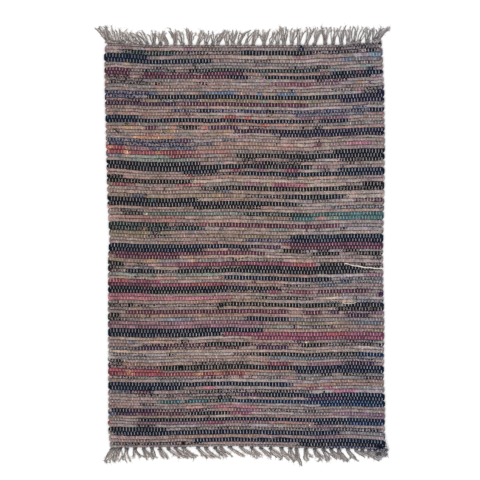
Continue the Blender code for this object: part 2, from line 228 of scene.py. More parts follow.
# The picks from the top end down. A line starts with how far the pick lies from the top end. After it
# come its rags from left to right, each with its cloth and its stretch from the chart's left edge. All
# in centimetres. A line that starts with spaces goes on with the pick above it.
CHART_LEFT = -298.3
CHART = """
0.1 umber 0-61, indigo 41.9-42.9, sparse 50.4-53.5, winedots 54-56, dots 56-61
0.8 mauve 3.6-4.9, tan 9.4-10.9, mauve 16.9-18.9, umber 20-50, indigo 41.6-43.2, winedots 50-52,
  sparse 52-58.4
1.6 sand 0-3, bottle 3.1-15.2, dots 15.2-21.5, sparse 21.5-28.8, ink 28.8-45, dots 45-54.7, ink 56.9-58.6
2.5 navy 0-9.8, umber 9.8-20, cream 26.7-40.5, stone 53.4-56.9, sky 56.9-61
3.5 navy 0-23.2, sparse 29.9-35.3, denim 51.7-53.4, grey 53.4-61
4.1 grey 0-19.4, gold 4.4-5.5, black 19.4-20
4.8 dots 10.6-13.4, black 19.4-20, grey 20-30, bottle 40.3-41.8, sparse 41.8-46, bottle 46-48.6,
  cream 53-54.5, mint 55.4-57.7
5.4 wine 0-6.4, bottle 8.7-9.8, greydots 9.8-13.4, bottle 13.4-15.4, ink 17.8-20.2, bottle 20.2-46.3,
  mint 48.4-50.8, navy 56.6-58.4
6.1 wine 0-5.5, wine 7.7-13.7, winedots 13.7-21.7, wine 21.7-30.3, mauve 46.9-47.8, navy 47.8-61,
  wine 54.4-55.4
6.8 winedots 0.5-5.5, wine 7.7-26, black 11.2-11.7, navy 26-31.4, ink 34.4-57.5, mauve 58.2-59
7.6 dots 1-8.3, grey 8.3-17.7, winedots 46-52.5, plum 60-61
8.3 dots 1-9.8, winedots 20.6-22.3, mauve 35.9-39, raspberry 39-45, mauve 45-51.2, gold 54.1-56.2
9 grey 0-10.5, coral 10.5-12.4, mauve 18-18.6, coral 19.2-19.9, sand 24-40
9.7 black 36.3-36.9, black 49.3-49.8, black 52.8-53.4, coral 54.1-55.6, dots 55.6-59.3, indigo 59.3-61
10.4 print 0-9.8, denim 9.8-11.5, denim 16.3-17, denim 21.7-28.6, coral 29-29.6, denim 32.6-34,
  denim 37.4-41.3, dots 55.3-58.8, indigo 58.8-61
11.2 print 0-8.3, ink 8.5-50.2, indigo 50.2-61
12.1 winedots 0-8, khaki 8-12, greydots 12-20.6, moss 20.6-33.6, mint 33.6-35.7, khaki 35.7-50.8,
  indigo 50.8-61
12.8 plum 0-16, wine 16-43.7, sage 59.5-61
13.6 sand 0-30, stone 30-61, bluedots 53.5-56
14.3 coral 0-1, print 14.6-40.7, ink 20.7-22.4, black 35.3-36.8, print 38.5-57, navy 57-61
15 coral 8.5-9.6, bluedots 41-56, pink 59.9-61
15.7 navy 0-7.2, umber 7.2-13.1, reddots 13.1-14.6, scarlet 25.6-26.8, red 26.8-28.8, scarlet 30.3-31.2,
  mauve 41.8-52.5
16.4 navy 0-53, sand 45.2-46
17.1 red 6.2-7, coral 28-28.7, scarlet 33.9-34.4, coral 37.9-39.5, coral 39.9-40.5, peach 40.5-45,
  grey 45-61
17.8 gold 4.2-6.6, wine 8.5-11.3, scarlet 14.9-15.4, black 15.9-20.6, scarlet 21.8-22.4, plum 22.6-28.8,
  winedots 31.4-34.6, dots 45-46.8
18.6 gold 13.5-15.4, gold 25.6-26.4, plum 28.2-36, indigo 36-61
19.3 coral 7.7-12, denim 15.2-15.8, mint 16.9-19.1, cream 19.1-27.9, indigo 36.8-61
19.9 apricot 5.9-15.2, black 35-35.3
20.5 print 0-18.5, raspberry 16.9-18, bluedots 25.4-28.2
21.3 print 1.2-18.5, bluedots 19.1-23.4, raspberry 45.2-46.9, pink 52.5-57.9
22.1 apricot 0-1.2, red 1.2-4, coral 4-5.5, mauve 5.5-9.8, bluedots 9.8-20, sand 40.5-61
23 sparse 38.5-49.5, red 0-16.9, apricot 4.6-5.3, apricot 11.2-11.9, reddots 16.9-19.1, coral 19.1-27.5,
  ink 49.5-61
23.8 slate 1.8-3.3, mint 5-14, reddots 14-20.6, grey 20.6-25.4, tan 25.4-28, black 28.4-38, ink 38-61
24.6 sage 2.9-6, mint 6-19.5, umber 19.5-40, dots 30-32.5, dots 40-45.5, black 51-58.5, dots 58.5-61
25.3 ink 0-20.6, winedots 28.8-34, black 34-36.4, dots 36.4-42.3
26.1 ink 0-44.8, mauve 45.9-48.4
27 rose 0-6.6, navy 16.5-24.5, raspberry 27.2-29.5, mauve 32.7-34.6, raspberry 39-42, navy 50-61
27.7 red 17.6-18.4, dots 18.9-29.4, navy 29.4-61
28.4 black 0-4.4, sparse 37-42, peach 42-51.5
29.1 black 0-19.1, cream 19.1-46.5, sand 46.5-61
30 reddots 1.6-6.4, reddots 15.4-21.7, grey 21.7-29.9, mauve 29.9-33.1, raspberry 36.1-40, pink 40-43.9,
  cream 43.9-52, sparse 52-56, black 56-61
30.8 dots 21.3-23.6, black 23.6-61
31.6 sparse 21.7-25, bluedots 25-26.9, sand 28.2-40.5, cream 40.5-61
32.4 bluedots 6.4-9, gold 24.5-25, dots 30.5-38, ink 38-52.1, cream 52.1-61
33.3 ink 0-20.6, teal 10-10.5, cream 20.6-30.6, sand 30.6-40.5, sparse 44.8-48.7, winedots 53.8-60.3
34.1 ink 0-42.2, navy 39.6-40.6
34.9 rose 0-7, black 19-33.6, greydots 49-60.5
35.6 umber 0-3.5, dots 3.5-8.5, umber 8.5-28.8, sand 46.5-50.8, peach 50.8-59.5
36.3 bottle 4-8.7, cream 8.7-9.3, fern 9.3-20.6, mint 20.6-29.2, bottle 29.5-44.3, jade 44.3-61,
  mint 45-45.6
37.1 coral 4-9.4, reddots 13.1-14.6, sand 23.7-30.3, khaki 35.3-37.9, jade 40.5-45.5, coral 46-47.4,
  mint 47.4-50.8, jade 50.8-61
38 coral 8.7-15.2, peach 20.2-30.3
38.8 bottle 0.8-14.1, winedots 14.6-23.2, raspberry 20.8-22.2, wine 23.4-50.8
39.6 bottle 1.2-21.7, rust 8.1-8.7, mint 20.9-21.9, mint 35.7-40, dots 50.9-52.3
40.4 moss 1.2-15.2, dots 10-11.5, denim 18.2-19.1, cream 50.5-61
41.2 moss 1.2-9.8, sparse 9.8-14.6, khaki 18.5-40, navy 40-61
42 umber 7.7-15.2, print 30.3-40.5, navy 40.5-61
42.7 raspberry 38.7-39.6, wine 39.6-61
43.5 navy 0.8-32.7, plum 32.7-37.9, raspberry 34-34.7, wine 40-61
44.2 navy 0.8-21.7, dots 26.9-31.2, black 38.3-44.1, dots 46.2-48.6, black 51.3-54.9
45 wine 0.8-34.6, black 44.6-50.6, black 54.1-61
45.6 wine 2.3-16.3, peach 16.3-30, cream 30-40.3
46.4 gold 9.4-11.3, grey 11.3-18.5, gold 18.5-19.5, grey 19.5-27, sparse 27-38.5, peach 40.5-44.5
47.3 black 0.8-4.4, dots 7-9.2, mauve 11.5-15.4, raspberry 15.4-41, red 41-45.6, black 46-52, dots 52-56,
  sparse 56-61
48 black 0.8-2, greydots 2-10.9, cream 10.9-15.6, winedots 15.6-20.2, dots 20.2-30.3, ink 30.3-59.5
48.8 wine 0-1.8, black 2.7-3.6, ink 4.6-12.6, dots 12.6-15.4, ink 15.4-55.5, dots 55.5-58
49.5 mint 0-7.5, fern 7.5-8.6, mint 8.6-10.5, grey 10.5-15.1, mint 15.1-25.1, mauve 56.4-60.5
50.3 dots 5.8-7.6, coral 11.5-15.2, navy 25.5-48.9, greydots 48.9-61
51 red 0.8-6, raspberry 6-12.2, cream 28.2-31.4, greydots 44.5-61, navy 51.2-52.5
51.7 wine 0.8-10.5, raspberry 10.5-18.5, red 18.5-26, mauve 26-30.8, dots 38.3-44.3, bluedots 46-50
52.4 ink 0-38.1, wine 8.6-9.3, dots 54.1-55.6
53.1 ink 0-26.5, dots 26.5-35.3, raspberry 35.3-38.1, winedots 39-41, raspberry 41-45, wine 45.6-57.5,
  plum 58.8-61
53.8 pink 0-10, plum 58.8-61
54.5 pink 0-27.5, sand 27.5-32.5, sparse 32.5-36, dots 36-45, cream 46.5-51
55.3 dots 0.8-2.9, sand 4.4-17.4, tan 17.4-25.4, greydots 45-51, cream 51-54, greydots 54-61
56 dots 0-4.9, black 4.9-6.8, sparse 7-23.8, black 24-50.8, ink 51.5-61
56.8 sparse 0-4, umber 8.7-20.6, black 24.2-25.3, black 50.2-61
57.5 umber 0-4.4, wine 4.4-40, wine 42.6-46.9, plum 48.2-50.8, winedots 52.3-58.5, mauve 58.5-61
58.3 black 0-3.6, tan 3.6-31.4, black 9.2-9.7, plum 52.3-57.2
59.1 dots 0.8-4, grey 4-13.3, slate 13.3-19.3, navy 30.3-39.6, slate 40.5-42.2
59.9 mauve 0.5-35.3, slate 54.1-59.2
60.7 mauve 0.5-32.5, sage 32.5-40.5, black 40.5-42.2, greydots 42.2-45.9, sparse 45.9-49.1,
  rose 49.1-57.3
61.5 navy 0-34.6, khaki 57.3-61
62.4 navy 0-25.4, raspberry 25.8-47.6, red 47.6-53, raspberry 53-61
63.2 sand 0.8-15, stone 15.4-29.2, raspberry 32.5-61
63.9 slate 5-6.8, peach 9.5-14.5, black 16.5-17.8, black 24.3-24.8, plum 41.3-42.8, dots 51.9-57.7
64.6 umber 0-8, dots 8-13.5, winedots 13.5-21.9, black 21.9-31.6, winedots 31.6-40.5, black 42.6-47.2,
  dots 47.2-61
65.3 greydots 0.8-7.2, plum 7.2-14, winedots 14-20.6, winedots 20.6-29, plum 33-39.7
66 cream 0-61
66.7 greydots 2-8, dots 28.2-32.9, black 32.9-54.9, petrol 54.9-61
67.4 grey 3-14, cream 32.9-35.2, slate 35.3-48.7, greydots 48.7-61
68 dots 1.6-3.5, rose 34-38.5, sparse 51.5-58
68.7 dots 0.8-3.6, rust 3.6-6, tan 6-14.8, dots 19.1-30.3, raspberry 35.3-40.5, mauve 44.1-50.4,
  plum 51.5-58.8
69.5 winedots 1.4-12, black 12-31, ink 31-40.5, navy 40.5-61
70.2 red 0.8-12.6, apricot 4.8-5.6, umber 12.6-21.9, tan 21.9-40.5, navy 41.3-61
71 red 0.8-30.3, apricot 4.8-5.6, apricot 20-20.8, apricot 23.8-24.7, coral 30.3-32.5, grey 32.5-46.5,
  grey 55.8-61, dots 46.5-48.9, dots 51.5-55.8
71.7 black 0-0.8, sparse 1.6-18.5, winedots 18.5-27, black 31.2-31.8, greydots 33.6-38.5,
  greydots 41.3-43, grey 43-56.2, dots 56.2-60
72.4 denim 11-11.8, grey 11.8-20, stone 20-40, tan 48.9-61
73.2 navy 0-40.3, rust 42-50, tan 50-61
73.9 navy 0.8-16.7, umber 16.7-21.3, pink 21.3-24, coral 40.5-42.2, reddots 43.9-45.4, pink 47.4-50
74.7 bluedots 1.8-5.5, winedots 5.5-10, umber 10-18.5, dots 18.5-44.3, pink 49.1-54.3
75.5 winedots 7.4-9, sparse 9.8-28.2, winedots 13.5-18, plum 28.8-34, navy 34-61
76.2 sparse 18-24.5, black 24.5-25.6, dots 25.6-27.5, plum 43.9-52, navy 52-61
76.9 teal 11.5-17, bottle 17-18.5, teal 18.5-22, bottle 22-25.5, teal 25.5-26.5, bottle 26.5-28.3,
  petrol 28.3-61
77.5 bottle 7.9-9.2, dots 9.2-10.5, petrol 46.5-61
78.1 umber 9-18, coral 18-20.6, pink 23.4-32.3
78.8 ink 1.6-5, plum 5-11.1, winedots 11.1-20.6, dots 20.6-24, coral 24.3-27.9, mauve 27.9-32.5,
  pink 32.5-34, sparse 34-46.5
79.5 denim 1.2-2.5, plum 2.5-7, wine 7-17.4, ink 17.4-26.9, raspberry 26.9-31.8, mauve 49.1-61
80.1 khaki 0.5-20.6, cream 24-26.2, mauve 56.9-61
80.8 ink 7.2-30, navy 30-61
81.4 scarlet 0.3-1.4, umber 1.4-6.4, mauve 6.4-22, raspberry 22-26, mauve 26-35.6, coral 35.6-45.2,
  navy 45.2-53, petrol 53-61
82.1 dots 7-11.3, umber 20.5-29.8, gold 39-39.9, mauve 45.2-49.1
82.8 ink 0-13.3, sparse 13.3-26.9, sparse 29.2-44, dots 44-59.5
83.6 navy 1.6-50.8, grey 50.8-61
84.5 rose 1.2-14, tan 14-32.7, mauve 45.4-50
85.3 rose 1.2-18.5, navy 19.1-61
86 dots 2-15.5, black 16.5-17.6, dots 17.6-21.7, ink 41.8-61
86.6 umber 0-43.4, sparse 43.4-48, print 48-61
"""


def srgb(colour):
    """An sRGB colour from 0 to 255 as a linear one from 0 to 1."""
    value = np.asarray(colour, float) / 255
    return np.where(value <= 0.04045, value / 12.92, ((value + 0.055) / 1.055) ** 2.4)


def read(table, at, column):
    """A table's column at places in its first column, along straight lines between its rows."""
    rows = np.asarray(table, float)
    return np.interp(at, rows[:, 0], rows[:, column])


def weave_place(across, along):
    """X and Y of places given by their share of the width and by millimetres from the top end."""
    left, right = (read(SELVEDGES, along, column) for column in (1, 2))
    x = left + across * (right - left)
    down = along / BODY_LENGTH
    top = BODY_LENGTH / 2 + read(END_LINES, x, 1)
    bottom = -BODY_LENGTH / 2 - read(END_LINES, x, 2)
    return x, top * (1 - down) + bottom * down


def frame_shift():
    """From the weave's own middle to the row's origin, by the middles of the two outlines."""
    along = np.linspace(0, BODY_LENGTH, OUTLINE_STATIONS)
    sides = [weave_place(across, along) for across in (0.0, 1.0)]
    x, y = (np.concatenate([side[axis] for side in sides]) for axis in (0, 1))
    low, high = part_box("rug_body")
    middle = (np.array(low) + np.array(high)) / 2 / MM
    return np.array([middle[0] - (x.min() + x.max()) / 2, middle[1] - (y.min() + y.max()) / 2, 0.0])


SHIFT = frame_shift()


def to_metres(points):
    return (np.asarray(points, float) + SHIFT) * MM


# The cloth is a little cooler towards its right side and its ends
CAST_ACROSS = (
    # across, red, blue
    (-300, 1.0, 1.0), (60, 1.0, 1.0), (150, 0.97, 1.04), (310, 0.93, 1.11),
)
CAST_ALONG = (
    # from the middle towards the top end, red, blue
    (-446, 1.0, 1.0), (-434, 0.94, 1.08), (-340, 0.96, 1.05), (-270, 0.99, 1.02), (-200, 1.0, 1.0),
    (300, 1.0, 1.0), (434, 0.96, 1.06), (446, 1.0, 1.0),
)


def cast(points):
    """How much red, green and blue the places in metres reflect beside their colour."""
    x, y, _ = (points / MM - SHIFT).T
    red, blue = (read(CAST_ACROSS, x, column) * read(CAST_ALONG, y, column) for column in (1, 2))
    return np.stack([red, np.ones(len(points)), blue], -1)


def drift(rng, rows, count, step):
    """Smooth random numbers along each row, with a new one every step places."""
    coarse = rng.standard_normal((rows, count // step + 3))
    at = np.arange(count) / step
    low = at.astype(int)
    share = at - low
    share = share * share * (3 - 2 * share)
    return coarse[:, low] * (1 - share) + coarse[:, low + 1] * share


def waves(rng, rows, count, *parts):
    """Smooth random numbers around 1. parts: each wave's size and step."""
    total = 1
    for size, step in parts:
        total = total + size * drift(rng, rows, count, step)
    return total


def add_object(name, data):
    added = bpy.data.objects.new(name, data)
    bpy.context.scene.collection.objects.link(added)
    return added


LANE_MARGIN = 0.08  # of a lane in the map, on either side of a stretch
CAP_MARGIN = 0.1  # and of a tube's cap
CAP_NUDGE = 0.004  # how far a cap reaches into its lane


class Tubes:
    """Closed tubes gathered into one mesh. Each stretch of a tube has its own lane in the map."""

    def __init__(self):
        self.points, self.colours, self.flecks = [], [], []
        self.corners, self.sizes, self.places = [], [], []
        self.count = 0
        self.lanes = 0

    def add(self, rings, colours, lane_length=None, flecks=None):
        """rings: stations by sides by 3; colours alike. The ring runs over the top from the left.
        flecks: the colour that shows through and, fourth, its share."""
        stations, sides = rings.shape[:2]
        steps = stations - 1
        lane_length = lane_length or steps
        step = np.arange(steps)[:, None]
        side = np.arange(sides)[None, :]
        here = self.count + step * sides
        after = (side + 1) % sides
        quads = np.stack([here + side, here + after, here + sides + after, here + sides + side], -1)
        lane = self.lanes + step // lane_length
        start = (step % lane_length) / lane_length
        end = start + 1 / lane_length
        low = lane + LANE_MARGIN + (1 - 2 * LANE_MARGIN) * side / sides
        high = low + (1 - 2 * LANE_MARGIN) / sides
        start, end, low, high = np.broadcast_arrays(start, end, low, high)
        corners = ((start, low), (start, high), (end, high), (end, low))
        places = np.stack([np.stack(corner, -1) for corner in corners], 2)
        self.corners.append(quads.reshape(-1))
        self.sizes.append(np.full(steps * sides, 4))
        self.places.append(places.reshape(-1, 2))
        for ring, turn, at in ((0, -1, 0.0), (steps, 1, 1.0)):
            order = np.arange(sides)[::turn]
            self.corners.append(self.count + ring * sides + order)
            self.sizes.append(np.array([sides]))
            lane_of_cap = self.lanes + (0 if ring == 0 else (steps - 1) // lane_length)
            nudge = np.where(order % 2, CAP_NUDGE, 0.0) * (1 if ring == 0 else -1)
            across = lane_of_cap + CAP_MARGIN + (1 - 2 * CAP_MARGIN) * order / sides
            self.places.append(np.stack([at + nudge, across], -1))
        self.points.append(to_metres(rings.reshape(-1, 3)))
        self.colours.append(np.broadcast_to(colours, rings.shape).reshape(-1, 3))
        flecks = np.zeros(4) if flecks is None else flecks
        self.flecks.append(np.broadcast_to(flecks, (stations, sides, 4)).reshape(-1, 4))
        self.count += stations * sides
        self.lanes += -(-steps // lane_length)

    def make(self, name, material):
        points = np.concatenate(self.points)
        corners = np.concatenate(self.corners).astype(np.int32)
        sizes = np.concatenate(self.sizes)
        places = np.concatenate(self.places)
        places[:, 1] /= self.lanes
        mesh = bpy.data.meshes.new(name)
        mesh.vertices.add(len(points))
        mesh.vertices.foreach_set("co", points.astype(np.float32).ravel())
        mesh.loops.add(len(corners))
        mesh.loops.foreach_set("vertex_index", corners)
        mesh.polygons.add(len(sizes))
        starts = np.concatenate([[0], np.cumsum(sizes)[:-1]]).astype(np.int32)
        mesh.polygons.foreach_set("loop_start", starts)
        mesh.update(calc_edges=True)
        layer = mesh.uv_layers.new(name="OFBake")
        layer.data.foreach_set("uv", places.astype(np.float32).ravel())
        opaque = np.ones((len(points), 1))
        shift = np.concatenate([cast(points), opaque], 1)
        colours = np.concatenate([np.concatenate(self.colours), opaque], 1)
        for layer_name, values in (("cloth", colours), ("fleck", np.concatenate(self.flecks))):
            paint = mesh.color_attributes.new(name=layer_name, type="FLOAT_COLOR", domain="POINT")
            paint.data.foreach_set("color", np.clip(shift * values, 0, 1).astype(np.float32).ravel())
        mesh.shade_smooth()
        mesh.materials.append(material)
        piece = add_object(name, mesh)
        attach(piece, "root")
        return piece


def left_of(path):
    """The level direction to a path's left, at each of its points."""
    heading = np.gradient(path[:, :2], axis=0)
    heading /= np.maximum(np.linalg.norm(heading, axis=1, keepdims=True), 1e-9)
    return np.stack([-heading[:, 1], heading[:, 0], np.zeros(len(path))], -1)


def sweep(path, half_width, half_height, profile):
    """Rings of a profile around a path. Its left is to the path's left, and its top points up."""
    across, up = np.transpose(profile)
    across = across * np.reshape(half_width, (-1, 1))
    rings = path[:, None, :] + left_of(path)[:, None, :] * across[..., None]
    rings[..., 2] += up * np.reshape(half_height, (-1, 1))
    return rings


def round_profile(sides):
    """A circle's points, over the top from the left."""
    turn = 2 * math.pi * np.arange(sides) / sides
    return np.stack([np.cos(turn), np.sin(turn)], -1)


# The chart, read


def read_chart():
    """For each pick its place along in mm, and its rags as (cloth, from, to) in mm."""
    picks = []
    for line in CHART.strip().replace("\n  ", " ").splitlines():
        along, rags = line.split(" ", 1)
        stretches = []
        for rag in rags.split(","):
            cloth, span = rag.split()
            start, end = (float(place) * CM for place in span.split("-"))
            stretches.append((cloth, start, end))
        picks.append((float(along) * CM, stretches))
    return picks


PICKS = read_chart()
PIECE_STARTS = range(0, len(PICKS), -(-len(PICKS) // WEFT_PIECES))
PIECE_PICKS = tuple(zip(PIECE_STARTS, (*PIECE_STARTS[1:], len(PICKS))))  # from pick, to pick
NAMES = list(CLOTHS)
WIDTHS = np.array([CLOTHS[name][1] for name in NAMES])
FLECKS = np.array([NAMES.index(CLOTHS[name][2]) for name in NAMES])
FLECK_SHARES = np.array([CLOTHS[name][3] for name in NAMES])
COLOURS = np.array([srgb(CLOTHS[name][0]) for name in NAMES])

# Places across, counted in warps: from half a warp before the first to half a warp past the last
STATIONS = np.arange(2 * WARPS + 1) * 0.5 - 0.5
AT_WARP = slice(1, None, 2)


def share_across(warp, along):
    """A warp's place as a share of the width."""
    width = read(SELVEDGES, along, 2) - read(SELVEDGES, along, 1)
    inset = SELVEDGE_INSET / width
    return inset + (1 - 2 * inset) * warp / (WARPS - 1)


def plain_cloths(rng, across):
    """The cloths of the stretches that the chart leaves open, as one long line of rags that turns back
    at each selvedge."""
    weights = np.array([weight for _, weight in PLAIN_CLOTHS], float)
    kinds = [NAMES.index(name) for name, _ in PLAIN_CLOTHS]
    pick_length = across.max() - across.min()
    total = pick_length * len(across)
    ends, cloths = [0.0], []
    while ends[-1] < total:
        ends.append(ends[-1] + rng.uniform(*PLAIN_RUN))
        cloths.append(kinds[rng.choice(len(kinds), p=weights / weights.sum())])
    found = np.empty(across.shape, int)
    for pick, row in enumerate(across):
        along_rag = row - across.min() if pick % 2 == 0 else across.max() - row
        found[pick] = np.array(cloths)[np.searchsorted(ends, along_rag + pick * pick_length) - 1]
    return found


def lay_rags(rng):
    """For each pick and station: its cloth and its two edges, in mm from the top end."""
    along = np.array([place for place, _ in PICKS])[:, None]
    across, _ = weave_place(share_across(STATIONS[None, :], along), along)
    across = across - CHART_LEFT
    cloth = plain_cloths(rng, across)
    specks = rng.random((len(PICKS), WARPS)) < SPECK_SHARE
    kinds = rng.integers(len(SPECK_CLOTHS), size=specks.shape)
    for pick, warp in np.argwhere(specks):
        name = SPECK_CLOTHS[kinds[pick, warp]]
        cloth[pick, 2 * warp : 2 * warp + 3] = NAMES.index(name)
    for pick, (_, rags) in enumerate(PICKS):
        for name, start, end in rags:
            ragged = rng.uniform(-RAGGED, RAGGED, 2)
            covered = (across[pick] >= start + ragged[0]) & (across[pick] < end + ragged[1])
            cloth[pick, covered] = NAMES.index(name)
    return cloth, pick_edges(rng, along[:, 0], WIDTHS[cloth])


def smoothed(rows, stations):
    """Rows of numbers, each evened out over so many stations."""
    kernel = np.hanning(stations)[1:-1]
    reach = len(kernel) // 2
    padded = np.pad(rows, ((0, 0), (reach, reach)), mode="edge")
    return np.array([np.convolve(row, kernel / kernel.sum(), mode="valid") for row in padded])


def sag(along, across):
    """How far each line lies below its charted place, at shares of the width."""
    columns = np.array([read(SAG, along, 1 + number) for number in range(len(SAG_ACROSS))])
    return smoothed([np.interp(across, SAG_ACROSS, line) for line in columns.T], SAG_SMOOTHING)


def pick_edges(rng, along, widths):
    """The lines between the picks. Each wanders from its place in the chart as thick rags push it."""
    smooth = smoothed(widths, PUSH_SMOOTHING)
    smooth *= waves(rng, *smooth.shape, *PUSH_WAVES)
    pushed = np.concatenate([np.zeros((1, smooth.shape[1])), np.cumsum(smooth, axis=0)])
    pushed *= BODY_LENGTH / pushed[-1]
    pushed -= pushed.mean(axis=1, keepdims=True)
    number = np.arange(len(pushed))
    nearness = np.exp(-0.5 * ((number[:, None] - number[None, :]) / PUSH_REACH) ** 2)
    pushed -= nearness / nearness.sum(axis=1, keepdims=True) @ pushed
    middles = (along[1:] + along[:-1]) / 2
    charted = np.concatenate([[0.0], middles, [BODY_LENGTH]])
    edges = charted[:, None] + PUSH * pushed + sag(charted, STATIONS / (WARPS - 1))
    picks = np.maximum(np.diff(edges, axis=0), LEAST_PICK)
    edges = np.concatenate([np.zeros((1, picks.shape[1])), np.cumsum(picks, axis=0)])
    return edges * BODY_LENGTH / edges[-1]


# The rags


def flecks_in(rng, cloth):
    """The cloth that shows through each rag, and its share. Near a rag's end that is the next one."""
    fleck, share = FLECKS[cloth], FLECK_SHARES[cloth]
    for pick, start in np.argwhere(np.diff(cloth, axis=1)) + (0, 1):
        for end, other in ((-1, cloth[pick, start]), (1, cloth[pick, start - 1])):
            reach = rng.integers(*BLEND_STATIONS)
            place = start + np.arange(reach) if end > 0 else start - 1 - np.arange(reach)
            place = place[(place >= 0) & (place < cloth.shape[1])]
            mixed = BLEND_SHARE * (1 - np.arange(len(place)) / reach) * rng.uniform(BLEND_LEAST, 1)
            own = (cloth[pick, place] != other) & (mixed > share[pick, place])
            fleck[pick, place[own]] = other
            share[pick, place[own]] = mixed[own]
    return fleck, share


def rag_colours(rng, cloth):
    """For each pick, station and side of the rag its colour, with painted light and shade, and the one
    that shows through with its share. And how deep the rag's groove is at each station, from 0 to 1."""
    fleck, share = flecks_in(rng, cloth)
    tone = waves(rng, *cloth.shape, *RAG_TONE)
    tint = tone[..., None] * np.stack([waves(rng, *cloth.shape, RAG_HUE) for _ in range(3)], -1)
    # Painted light and shade over each rag's profile: dark edges and underside, lighter top, with random
    # streaks
    shade = np.stack([waves(rng, *cloth.shape, STREAK) for _ in RAG_PROFILE], -1) * RAG_LIGHT_AND_SHADE
    for edge in EDGES:
        shade[..., edge] *= waves(rng, *cloth.shape, EDGE_WAVE)
    shade[0, :, EDGES[0]] = 1  # no other rag shades the weave's end
    mean, size, step = GROOVE
    groove = np.clip(mean + size * drift(rng, *cloth.shape, step), 0, 1)
    # Painted shade in the groove
    shade[..., CROWN] *= 1 - FOLD_SHADE * groove
    pick, warp = np.indices((len(PICKS), WARPS))
    # Painted shade where a warp float lies over the rag
    shade[:, AT_WARP] *= np.where((pick + warp) % 2 == 1, UNDER_WARP_SHADE, 1.0)[..., None]
    # Painted shade in small random pits
    shade_pits = rng.random(shade.shape) < SHADE_PIT_SHARE
    shade[shade_pits] *= PIT_SHADE
    tint = np.maximum(tint[:, :, None, :] * shade[..., None], 0)
    flecks = COLOURS[fleck][:, :, None, :] * tint
    sides = np.stack([waves(rng, *cloth.shape, FLECK_WAVE) for _ in RAG_PROFILE], -1)
    shares = (share[..., None] * sides)[..., None]
    return COLOURS[cloth][:, :, None, :] * tint, np.concatenate([flecks, shares], -1), groove


def weft_path(rng, edges, cloth):
    """For each pick and station the rag's middle, half its width and half its thickness."""
    picks, stations = cloth.shape
    middle = (edges[1:] + edges[:-1]) / 2
    half = (edges[1:] - edges[:-1]) / 2
    x, y = weave_place(share_across(STATIONS[None, :], middle), middle)
    for size, step in RAG_WANDER:
        y = y + size * drift(rng, picks, stations, step)
    pick, warp = np.indices((picks, WARPS))
    over = (pick + warp) % 2 == 0
    rise = np.full((picks, stations), GAP_RISE)
    rise[:, AT_WARP] = np.where(over, 1, -1)
    spread = np.ones((picks, stations))
    spread[:, AT_WARP] = np.where(over, OVER_SPREAD, UNDER_SPREAD)
    height = RAG_THICKNESS * np.sqrt(WIDTHS[cloth]) * waves(rng, picks, stations, *RAG_BULGE)
    half = half * spread * np.minimum(WIDTHS[cloth], 1) ** THIN_POWER
    half = half * waves(rng, picks, stations, RAG_SWELL)
    z = np.maximum(RAG_MIDDLE + RAG_SWING * rise, RAG_BELLY * height + RAG_CLEARANCE)
    return np.stack([x, y, z], -1), half, height


def turn_path(here, after, side):
    """The rag's way around the outermost warp to the next pick."""
    middle = (here + after) / 2
    angle = np.linspace(0, math.pi, TURN_STATIONS + 2)[1:-1]
    x = middle[0] + side * TURN_REACH * np.sin(angle) ** TURN_POWER
    y = middle[1] + (here[1] - middle[1]) * np.cos(angle)
    return np.stack([x, y, np.full(len(angle), RAG_MIDDLE)], -1)


def weft_pieces(rng, material):
    cloth, edges = lay_rags(rng)
    colours, through, groove = rag_colours(rng, cloth)
    path, half, height = weft_path(rng, edges, cloth)
    fields = (path, half, height, groove, colours, through)
    share = (np.arange(TURN_STATIONS) + 1) / (TURN_STATIONS + 1)
    outside = np.sin(math.pi * share)
    first_half = share[:, None, None] < 0.5
    parts = []
    for pick in range(len(PICKS)):
        side = 1 if pick % 2 == 0 else -1
        parts.append([field[pick, ::side] for field in fields])
        if pick < len(PICKS) - 1:
            last = -1 if side > 0 else 0
            here, after = ([field[row, last] for field in fields] for row in (pick, pick + 1))
            ends = here[1] * (1 - share) + after[1] * share
            middle = TURN_WIDTH / 2 * (1 + TURN_MOTTLE * rng.standard_normal())
            parts.append([
                turn_path(here[0], after[0], side),
                ends * (1 - outside) + middle * outside,
                np.full(TURN_STATIONS, here[2]),
                np.zeros(TURN_STATIONS),
                *(np.where(first_half, here[look], after[look]) for look in (4, 5)),
            ])
    points, widths, heights, grooves, paint, flecks = (np.concatenate(column) for column in zip(*parts))
    rings = sweep(points, widths, heights, RAG_PROFILE)
    rings[:, CROWN, 2] -= FOLD_DEPTH * heights * grooves
    lane = len(STATIONS) + TURN_STATIONS
    pieces = []
    for number, (first, last) in enumerate(PIECE_PICKS):
        span = slice(first * lane, min(last * lane + 1, len(rings)))
        tubes = Tubes()
        tubes.add(rings[span], paint[span], lane, flecks[span])
        pieces.append(tubes.make(f"rug_weft_{number + 1}", material))
    return pieces, cloth, edges


# The warp


def warp_paths(rng, edges):
    """A path for each warp from the top end to the bottom, over and under the picks in turn."""
    at = edges[:, AT_WARP]
    picks = len(at) - 1
    over = (np.arange(picks)[:, None] + np.arange(WARPS)[None, :]) % 2 == 1
    margin = (1 - np.where(over, FLOAT_SHARE, UNDER_SHARE)) / 2
    near = at[:-1] + margin * np.diff(at, axis=0)
    far = at[1:] - margin * np.diff(at, axis=0)
    along = np.stack([near, far], 1).reshape(2 * picks, WARPS)
    over = np.repeat(over, 2, axis=0)
    z = np.where(over, WARP_OVER, WARP_UNDER) + WARP_UNEVEN * rng.standard_normal(along.shape)
    x, y = weave_place(share_across(np.arange(WARPS)[None, :], along), along)
    size, step = WARP_DRIFT
    x = x + size * drift(rng, WARPS, 2 * picks, step).T + WARP_LEAN * rng.standard_normal(x.shape)
    return np.stack([x, y, z], -1)


